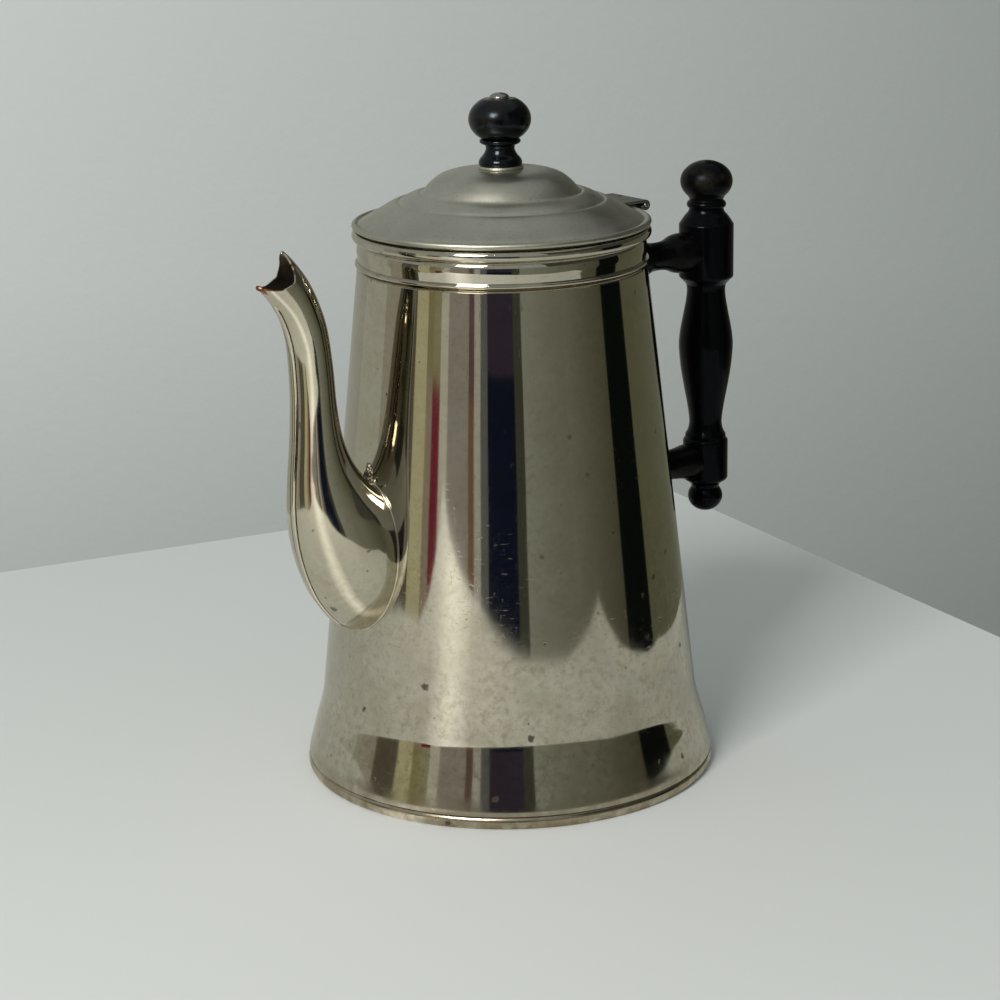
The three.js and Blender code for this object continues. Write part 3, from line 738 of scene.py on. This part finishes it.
def spout_fillet():
    """The bead of solder where the spout meets the body, and the lumps in the crotch above it."""
    columns = range(COLUMNS)
    loop = [spout_point(c, spout_limits(c)[1], 1) for c in columns]
    loop += [spout_point(c, spout_limits(c)[1], -1) for c in reversed(columns[1:-1])]
    count, sides = len(loop), 10
    vertices, faces = [], []
    for i, point in enumerate(loop):
        ahead = (loop[(i + 1) % count] - loop[i - 1]).normalized()
        out = Vector((point.x, point.y, 0)).normalized()
        across = ahead.cross(out).normalized()
        near_top = max(0.0, (point.z - 105) / 15)
        lump = 0.42 + 0.1 * noise.noise(point * 0.5) + 0.6 * min(1.0, near_top)
        for k in range(sides):
            angle = math.tau * k / sides
            rise, spread = 0.3 + lump * math.sin(angle), lump * 1.2 * math.cos(angle)
            vertices.append(point + out * rise + across * spread)
    for i in range(count):
        for k in range(sides):
            here, ahead = i * sides, (i + 1) % count * sides
            faces.append([here + k, here + (k + 1) % sides, ahead + (k + 1) % sides, ahead + k])
    add_piece("spout_fillet", vertices, faces, spout_metal, "pot", sharp=60)
    crotch = spout_point(COLUMNS - 1, spout_limits(COLUMNS - 1)[1], 1)
    solder_lump("crotch_solder_low", crotch + Vector((-0.8, -1.4, 0.6)), (2.6, 2.8, 1.9), 5)
    solder_lump("crotch_solder_middle", crotch + Vector((0.0, -0.9, 2.9)), (1.5, 1.9, 2.0), 8)
    solder_lump("crotch_solder_high", crotch + Vector((0.9, -0.5, 5.2)), (1.3, 2.1, 1.5), 11)


def solder_lump(name, centre, radii, seed):
    """A small uneven lump of solder."""
    ball = bmesh.new()
    bmesh.ops.create_icosphere(ball, subdivisions=4, radius=1.0)
    for vertex in ball.verts:
        shift = 1 + 0.4 * noise.noise(vertex.co * 1.6 + Vector((seed, 0, 0)))
        vertex.co = Vector(c * r for c, r in zip(vertex.co * shift, radii)) + centre
    vertices = [tuple(v.co) for v in ball.verts]
    faces = [[v.index for v in f.verts] for f in ball.faces]
    ball.free()
    add_piece(name, vertices, faces, solder_metal, "pot", sharp=60)


# ---------------------------------------------------------------- lid


def lid_outline():
    """The lid's outside, from the crown out to its edge."""
    top = LID_HIGH.z
    dome = spline([(8.6, top), (14, top - 0.25), (18.5, top - 0.95), (22.5, top - 2.35), (26, top - 5.0),
                   (28.6, top - 8.0)], 7)
    shoulder = spline([(28.6, top - 8.0), (29.4, top - 8.5), (30.6, top - 8.45), (33.2, top - 9.15),
                       (35.6, top - 10.3), (36.9, top - 11.3)], 5)
    brim = spline([(36.9, top - 11.3), (37.6, top - 11.65), (38.7, top - 11.55), (41, top - 12.4),
                   (46, top - 15.3), (49.9, top - 17.5), (51.0, top - 18.25), (51.9, top - 18.85),
                   (52.5, top - 18.8)], 5)
    return [*dome, *shoulder, *brim]


def lid_shell():
    """The stepped sheet lid with its turned-over edge."""
    bead = 1.1
    edge_r, edge_z = LID_HIGH.y - bead, LID_LOW.z + bead
    outside = lid_outline()
    roll = arc((edge_r, edge_z), (bead, bead), 125, -95, 16)
    lining = [(radius, height - SHEET) for radius, height in reversed(outside)]
    loop = [(1.8, LID_HIGH.z), *outside, *roll, (52.3, LID_LOW.z + 0.7), *lining, (1.8, LID_HIGH.z - SHEET)]
    shell = turned("lid_cover", loop, lid_metal, "lid", ["lid_shell"], 192, sharp=40)
    give_inside(shell, inside, lambda centre, normal: normal.z < -0.2 and centre.xy.length < 52.2)
    ring = [(SKIRT_HIGH.y - SHEET, SKIRT_LOW.z), (SKIRT_HIGH.y, SKIRT_LOW.z), (SKIRT_HIGH.y, SKIRT_HIGH.z),
            (SKIRT_HIGH.y - SHEET, SKIRT_HIGH.z)]
    turned("lid_flange", ring, lid_metal, "lid", ["lid_skirt"])


def knob():
    """The turned wooden knob on its thin metal seat, with its screw."""
    ball_z, ball_r, ball_h = 243.9, (KNOB_HIGH.x - KNOB_LOW.x) / 2, 8.7
    neck = spline([(7.6, KNOB_LOW.z), (7.95, KNOB_LOW.z + 0.9), (7.5, 229.6), (6.1, 231.3), (5.25, 233.2),
                   (5.5, 234.4), (6.0, 234.9)], 6)
    ring = arc((6.1, 236.0), (1.4, 1.05), -80, 85, 10)
    ball = arc((0, ball_z), (ball_r, ball_h), -48, 58, 30)
    outline = [(1.8, KNOB_LOW.z), *neck, *ring, (6.75, 237.3), *ball, (1.8, KNOB_HIGH.z)]
    turned("turned_knob", outline, knob_wood, "lid", ["lid_knob"], segments=96, sharp=28)
    low, high = SEAT_LOW.z - 0.25, SEAT_HIGH.z + 0.25
    seat = [(1.8, low), *arc((7.9, (low + high) / 2), (0.5, (high - low) / 2), -90, 90, 6), (1.8, high)]
    turned("knob_washer", seat, lid_metal, "lid", ["knob_seat"], segments=96)
    head_r, head_z = (SCREW_HIGH.x - SCREW_LOW.x) / 2, KNOB_HIGH.z + 0.05
    dome = arc((0, head_z + 0.3), (head_r, SCREW_HIGH.z - head_z - 0.3), 0, 90, 14)
    screw = [(0, SCREW_LOW.z), (1.5, SCREW_LOW.z), (1.5, head_z), (head_r, head_z), *dome]
    turned("domed_screw", screw, steel, "lid", ["knob_screw"], segments=64)


KNUCKLE_R, KNUCKLE_BORE = 2.0, 1.0
LEAF_START = 47.6  # where the lid's leaf starts, from the pot's axis
STRAP_HALF, NOTCH_HALF, WING_HALF = 3.9, 4.15, 9  # half widths: the body's strap, its gap and its wings


def knuckle(from_angle, to_angle):
    """A rolled loop about the hinge pin in (x, z): its outside, then its bore on the way back."""
    centre = (PIN.x, PIN.z)
    loop = arc(centre, (KNUCKLE_R, KNUCKLE_R), from_angle, to_angle, 24)
    return loop + arc(centre, (KNUCKLE_BORE, KNUCKLE_BORE), to_angle, from_angle, 24)


def hinge():
    """The rolled leaves, the pin with its rounded ends, and the solder under the lid's leaf."""
    top, bottom = PIN.z + KNUCKLE_R, PIN.z + KNUCKLE_BORE
    notch_x = PIN.x - 2.4
    flat = [(LEAF_START, top), (notch_x, top), (notch_x, bottom), (LEAF_START, bottom)]
    along_y("lid_leaf", flat, -NOTCH_HALF, NOTCH_HALF, shaded_hinge_metal, "lid", "satin_nickel",
            ["lid_hinge_leaf"])
    plate = [(LEAF_START, top), *knuckle(90, -175), (LEAF_START, bottom)]
    half = (span("lid_hinge_leaf")[1].y - span("lid_hinge_leaf")[0].y) / 2
    for side, name in ((1, "lid_knuckle_right"), (-1, "lid_knuckle_left")):
        ends = sorted((side * NOTCH_HALF, side * half))
        along_y(name, plate, *ends, shaded_hinge_metal, "lid", "satin_nickel")
    path = []
    for i in range(31):
        y = (-1 + i / 15) * (half - 0.4)
        place = Vector((math.sqrt(49.6**2 - y * y), y, PIN.z + 1.5))
        path.append((place, Vector((1, 0, -0.3)), Vector((0, 0, 1))))
    swept("leaf_solder", path, arc((0, -0.5), (1.9, 0.8), 0, 180, 8), shaded_hinge_metal, "lid")
    pad_x, pad_z = COLLAR_HIGH.y - 1.3, COLLAR_LOW.z + 3
    pad = [(PIN.x - 1.1, 201.8), (pad_x + 0.9, 198.2), (pad_x + 0.9, pad_z), (pad_x, pad_z), (pad_x, 198.6),
           (PIN.x - 2.0, 202.2)]
    strap = [(PIN.x - 2.0, PIN.z), *knuckle(180, -90), *pad]
    along_y("body_strap", strap, -STRAP_HALF, STRAP_HALF, shaded_hinge_metal, "pot", "satin_nickel",
            ["body_hinge_leaf"])
    wing = [(PIN.x - 1.98, 204.6), (PIN.x - 1.12, 204.6), *pad]
    for side, name in ((1, "body_leaf_right"), (-1, "body_leaf_left")):
        ends = sorted((side * STRAP_HALF, side * WING_HALF))
        along_y(name, wing, *ends, shaded_hinge_metal, "pot", "satin_nickel")
    hinge_pin()


def hinge_pin():
    """The pin through the knuckles, with rounded ends."""
    length = PIN_HIGH.y - PIN_LOW.y
    end = arc((0, length / 2 - 0.5), (0.8, 0.5), 0, 90, 6)
    outline = [(0, -length / 2), *[(r, -z) for r, z in reversed(end)], *end]
    vertices, faces = turned_mesh(outline, 24, loop=False)
    turn = Matrix.Rotation(math.radians(90), 3, "X")
    placed = [turn @ Vector(v) + PIN for v in vertices]
    add_piece("pin", placed, faces, steel, "pot", ["hinge_pin"])


# ---------------------------------------------------------------- handle


def grip():
    """The turned upright grip with its beads, barrels and end balls."""
    upper_r = (GRIP_HIGH.x - GRIP_LOW.x) / 2
    lower_r = 8.85
    foot_ball = arc((0, GRIP_LOW.z + 6), (6.85, 6), -90, 38, 20)
    lower = [(5.5, 90.4), (5.8, 91.3), *arc((lower_r - 1.6, 94.3), (1.6, 1.6), -80, 0, 6)]
    lower += arc((lower_r - 1.6, 108.6), (1.6, 1.6), 0, 60, 6)
    waist = spline([(7.9, 111.6), (7.0, 113.2), (6.45, 115.6), (6.5, 118.4), (7.3, 124), (8.7, 131.5),
                    (9.9, 139), (10.55, 146.5), (10.35, 151), (9.7, 155.3), (8.7, 160.4), (7.8, 165.4),
                    (7.45, 169.2), (7.75, 171.6)], 6)
    barrel = [(8.3, 172.2), *arc((upper_r - 1.3, 175.2), (1.3, 1.5), -70, 0, 6)]
    barrel += arc((upper_r - 1.1, 194.7), (1.1, 1.2), 0, 55, 5)
    throat = spline([(9.6, 196.6), (8.3, 198.4), (7.2, 199.6), (6.7, 200.7)], 5)
    bead = arc((6.15, 202.7), (1.45, 1.55), -70, 70, 10)
    ball = arc((0, 211.6), (10.1, GRIP_HIGH.z - 211.6), -44, 90, 34)
    outline = [*foot_ball, *lower, *waist, *barrel, *throat, *bead, (6.5, 204.7), *ball]
    place = (GRIP_X, 0)
    turned("turned_grip", outline, grip_wood, "pot", ["handle_grip"], 96, place, sharp=28)


def arm(name, node, radii, height, grip_r):
    """A japanned arm, turned about X, sunk a hair into the body and coped round the grip."""
    start = cone_radius(height) - 2.0
    end = GRIP_X - grip_r + 2.6
    stations = [(start + (end - start) * i / (len(radii) - 1), radius) for i, radius in enumerate(radii)]
    line = spline(stations, 8)
    count = 48
    vertices, faces = [], []
    for x, radius in line:
        for k in range(count):
            angle = math.tau * k / count
            y, z = radius * math.cos(angle), radius * math.sin(angle)
            wall = GRIP_X - math.sqrt(max(0.0, (grip_r - 0.25) ** 2 - y * y))
            inner = math.sqrt(max(0.0, (cone_radius(height + z) - 0.3) ** 2 - y * y))
            vertices.append((min(max(x, inner), wall), y, height + z))
    for i in range(len(line) - 1):
        for k in range(count):
            a, b = i * count + k, i * count + (k + 1) % count
            faces.append([a, b, b + count, a + count])
    faces += [list(range(count)), list(range(len(vertices) - count, len(vertices)))]
    add_piece(name, vertices, faces, iron, "pot", [node], sharp=50)


def arms():
    """The upper and lower arms."""
    arm("upper_arm", "upper_handle_arm", (8, 8, 7.9, 7.2, 5.7, 5.35, 5.8, 7.3, 7.7, 7.4), UPPER_ARM_Z, 10.6)
    arm("lower_arm", "lower_handle_arm", (8.3, 8.1, 7.2, 6.2, 5.8, 6.1, 6.8, 6.9), LOWER_ARM_Z, 8.85)


def hidden_metal():
    """CAD pieces kept as they are, with the finish of plain steel."""
    for node in ("upper_handle_stud", "lower_handle_stud", "knob_nut"):
        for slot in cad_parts[node].material_slots:
            slot.material = steel


body_wall()
foot()
neck_rings()
spout_halves()
lip_roll()
spout_fillet()
lid_shell()
knob()
hinge()
grip()
arms()
hidden_metal()


# ---------------------------------------------------------------- stage
HEADING = math.radians(34.86)  # the camera looks this far round from +Y towards +X
CAMERA_PITCH, CAMERA_ROLL = math.radians(15.714), math.radians(-1.017)
CAMERA_PLACE = Vector((-0.5394, -0.7703, 0.3656))  # metres


def bearing(degrees, distance, height):
    """A point in millimetres from a bearing round the pot and a distance and height in metres.

    Bearing 0 is towards the camera and 90 is to the camera's right.
    """
    angle = math.radians(degrees) - math.pi / 2 - HEADING
    return Vector((distance * math.cos(angle), distance * math.sin(angle), height)) / MM


def plain(name, tone):
    """A plain stage surface."""
    n = Nodes(name)
    n.set(Base_Color=tone, Roughness=0.8)
    return n.material


def glowing(name, tone):
    """A card that gives off an even light."""
    n = Nodes(name)
    n.set(Base_Color=(0, 0, 0, 1), Roughness=1.0, Emission_Color=tone, Emission_Strength=1.0)
    n.set(Specular_IOR_Level=0.0)
    return n.material


def seen_by(obj, camera, diffuse, glossy):
    """Puts an object on the stage, seen by only some rays; it casts no shadow."""
    obj.visible_camera, obj.visible_diffuse, obj.visible_glossy = camera, diffuse, glossy
    obj.visible_transmission, obj.visible_volume_scatter, obj.visible_shadow = camera, False, False


def out_along(n, turn):
    """How far a surface point lies out along a bearing, in metres, as a node value."""
    inputs = {0: n.place, 1: tuple(bearing(turn, MM, 0))}
    return n.add("ShaderNodeVectorMath", inputs, operation="DOT_PRODUCT").outputs["Value"]


def painted_light_wall():
    """Pale wall, lighter towards the left and the top as painted light and shade, with a fine orange peel.
    """
    n = Nodes("wall with painted light")
    # painted light and shade: darker to the right, and a little darker below the table's height
    to_right = n.ramp(out_along(n, 90), -0.5, 0.45)
    tone = n.mix(to_right, (0.93, 0.965, 0.965, 1), (0.47, 0.505, 0.48, 1))
    tone = n.mix(n.ramp(n.height(), -0.27, 0.0, 0.22, 0.0), tone, (0, 0, 0, 1))
    n.set(Base_Color=tone, Roughness=0.8, Normal=n.bump(n.noise(120, 4), 0.0006))
    return n.material


MIRROR_TABLE = (0.70, 0.71, 0.665, 1)
POOL_BEARING = -33.5  # towards the light pool on the table that shows as a bright streak in the plate
TABLE_CORNER, TABLE_SIDE = Vector((288, 284, 0)), 1600
WALL_DISTANCE = 1.0  # metres behind the pot's axis
# The edge of the table as the plate mirrors it: bearings in degrees and distances in metres.
MIRROR_EDGE = [
    (-90, 0.5), (-70, 0.6), (-55, 0.63), (-49, 0.8), (-43, 1.8), (-37, 1.3), (-30, 1.05), (-22, 0.9),
    (-15, 0.82), (-5, 0.71), (6, 0.61), (18, 0.555), (34, 0.53), (57, 0.68), (70, 0.43), (88, 0.335),
    (99, 0.325), (110, 0.3), (130, 0.28), (170, 0.3), (220, 0.4),
]


def mirrored_table_paint():
    """The table as mirrors see it, with a soft pool of light that widens away from the pot."""
    n = Nodes("table in mirrors")
    across, along = out_along(n, POOL_BEARING + 90), out_along(n, POOL_BEARING)
    slope = n.math("ABSOLUTE", n.math("DIVIDE", across, along), 0)
    pool = n.math("MULTIPLY", n.ramp(slope, 0.03, 0.22, 0.42, 0.0), n.math("GREATER_THAN", along, 0))
    n.set(Base_Color=MIRROR_TABLE, Roughness=0.8)
    n.set(Emission_Color=(1, 0.985, 0.93, 1), Emission_Strength=pool)
    return n.material


def floors():
    """A pale table with its far corner behind the pot, a wall beyond, and the table as mirrors see it."""
    left = TABLE_CORNER + Vector((-0.987, 0.162, 0)) * TABLE_SIDE
    right = TABLE_CORNER + Vector((-0.136, -0.990, 0)) * TABLE_SIDE
    outline = [TABLE_CORNER, left, bearing(-60, 2.6, 0), bearing(20, 2.6, 0), right]
    table = add_piece("table", outline, [[0, 1, 2, 3, 4]], plain("table", (0.74, 0.765, 0.755, 1)))
    seen_by(table, True, True, False)
    far = [bearing(180, WALL_DISTANCE, 0) + bearing(90, across, height) for across, height in
           ((-3, -1.2), (3, -1.2), (3, 2.4), (-3, 2.4))]
    seen_by(add_piece("wall", far, [[0, 1, 2, 3]], painted_light_wall()), True, True, False)
    rim = [bearing(turn, distance, -0.0004) for turn, distance in MIRROR_EDGE]
    mirror_table = add_piece("table_in_mirrors", rim, [list(range(len(rim)))], mirrored_table_paint())
    seen_by(mirror_table, False, False, True)


# Bearings from and to, and how the card between them looks in the plate.
# Some go on with how its upper part looks, and the height in metres at which that part starts.
CARDS = [
    (-180, -130, (126, 124, 108)),
    (-130, -100, (134, 132, 114)),
    (-100, -84, (120, 114, 97)),
    (-84, -68, (70, 64, 50)),
    (-68, -58, (142, 136, 102)),
    (-58, -53, (112, 100, 82), (104, 98, 66), 0.07),
    (-53, -47, (88, 26, 36), (112, 106, 78), 0.07),
    (-47, -41, (146, 142, 122)),
    (-41, -25.5, (112, 107, 94)),
    (-25.5, -21.5, (92, 68, 46), (76, 58, 52), 0.09),
    (-21.5, -17, (134, 130, 116)),
    (-17, -12, (74, 74, 68)),
    (-12, 7, (12, 16, 26), (40, 33, 40), 0.13),
    (7, 13, (50, 49, 38)),
    (80, 102, (8, 10, 7)),
]
# Bearings from and to, and how the plate looks at the one end and the other.
FADING_CARDS = [
    (13, 44, (105, 105, 90), (88, 87, 71)),
    (44, 80, (88, 87, 71), (60, 59, 44)),
    (102, 140, (70, 70, 50), (78, 77, 60)),
    (140, 180, (78, 77, 60), (100, 99, 84)),
]
FADE_STEPS = 12
CARD_DISTANCE, CARD_LOW, CARD_HIGH = 2.6, -0.9, 0.75


def reflected_card(name, start, end, low, high, look):
    """One upright curved card between two bearings that only mirrors see: a glowing painted reflection."""
    vertices, steps = [], max(2, round((end - start) / 4))
    for k in range(steps + 1):
        turn = start + (end - start) * k / steps
        vertices += [bearing(turn, CARD_DISTANCE, low), bearing(turn, CARD_DISTANCE, high)]
    faces = [[2 * k, 2 * k + 2, 2 * k + 3, 2 * k + 1] for k in range(steps)]
    # painted reflection: the card glows with the colour the plate should show, over the plate's own tone
    tone = [seen / plate for seen, plate in zip(colour(*look), NICKEL)]
    card = add_piece(name, vertices, faces, glowing(name, (*tone[:3], 1)))
    seen_by(card, False, False, True)


def reflected_cards():
    """A ring of upright glowing cards, painted reflections like the furniture and walls of a room, and a
    dark band of painted reflection above its right.
    """
    for i, (start, end, first, last) in enumerate(FADING_CARDS):
        for k in range(FADE_STEPS):
            look = [a + (b - a) * k / (FADE_STEPS - 1) for a, b in zip(first, last)]
            turns = [start + (end - start) * (k + n) / FADE_STEPS for n in (0, 1)]
            reflected_card(f"fading_card_{i}_{k}", *turns, CARD_LOW, CARD_HIGH, look)
    reflected_card("dark_reflection_band", 35, 175, CARD_HIGH, 3.2, (50, 50, 42))
    for i, (start, end, look, *upper) in enumerate(CARDS):
        split = upper[1] if upper else CARD_HIGH
        reflected_card(f"card_{i:02d}", start, end, CARD_LOW, split, look)
        if upper:
            reflected_card(f"card_{i:02d}_top", start, end, split, CARD_HIGH, upper[0])


def lights():
    """One soft key light from the front left, and an even pale surround."""
    key = bpy.data.lights.new("key", "AREA")
    key.energy, key.size, key.color = 21.5, 0.6, (1.0, 0.975, 0.94)
    lamp = bpy.data.objects.new("key", key)
    lamp.location = bearing(-27, 1.4, 1.25) * MM
    lamp.rotation_euler = (Vector((0, 0, 0.1)) - lamp.location).to_track_quat("-Z", "Y").to_euler()
    bpy.context.scene.collection.objects.link(lamp)
    world = bpy.data.worlds.new("studio")
    bpy.context.scene.world = world
    world.use_nodes = True
    world.node_tree.nodes["Background"].inputs["Color"].default_value = (0.93, 0.98, 0.96, 1)
    world.node_tree.nodes["Background"].inputs["Strength"].default_value = 0.34


def camera():
    """The photograph's view: a long lens a metre away, looking down on the pot."""
    data = bpy.data.cameras.new("camera")
    data.sensor_width, data.lens = 36, 93.6
    data.clip_start, data.clip_end = 0.05, 40
    eye = bpy.data.objects.new("camera", data)
    aim = Matrix.Rotation(-HEADING, 4, "Z") @ Matrix.Rotation(math.pi / 2 - CAMERA_PITCH, 4, "X")
    eye.matrix_world = Matrix.Translation(CAMERA_PLACE) @ aim @ Matrix.Rotation(CAMERA_ROLL, 4, "Z")
    bpy.context.scene.collection.objects.link(eye)
    bpy.context.scene.camera = eye


floors()
reflected_cards()
lights()
camera()
bpy.context.scene.view_settings.view_transform = "Standard"
